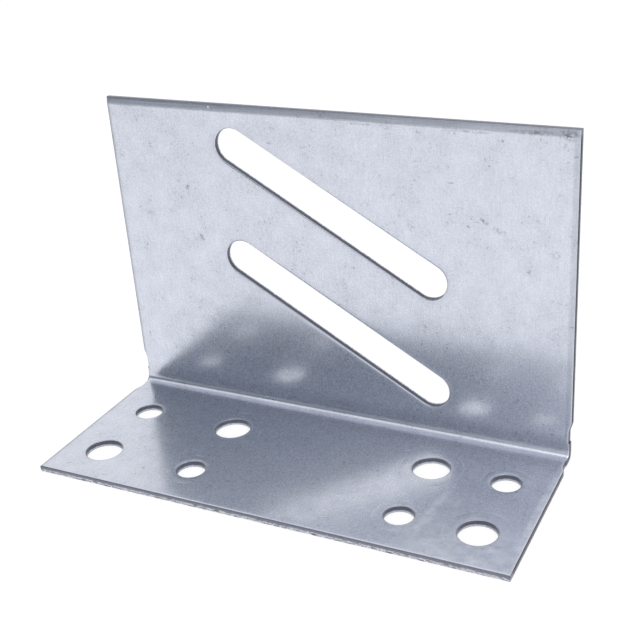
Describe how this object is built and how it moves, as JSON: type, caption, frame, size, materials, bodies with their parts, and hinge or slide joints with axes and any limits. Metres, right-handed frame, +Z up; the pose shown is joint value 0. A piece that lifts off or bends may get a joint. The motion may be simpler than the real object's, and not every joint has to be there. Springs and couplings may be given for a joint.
{
  "type": "connection angle bracket",
  "caption": "Folded zinc-coated steel angle bracket with slanted adjusting slots in its upright leg and rows of bolt and screw holes in its foot.",
  "frame": {"origin": "under the middle of the part, on the underside of the foot", "axes": "+Z up, +X along the fold, +Y out of the back of the upright"},
  "size_m": [0.1474, 0.06, 0.1],
  "materials": {
    "zinc_steel": "hot-dip zinc-coated sheet, satin and slightly streaked, with sheared edges"
  },
  "bodies": {
    "root": {"bracket": "zinc_steel"}
  },
  "joints": []
}
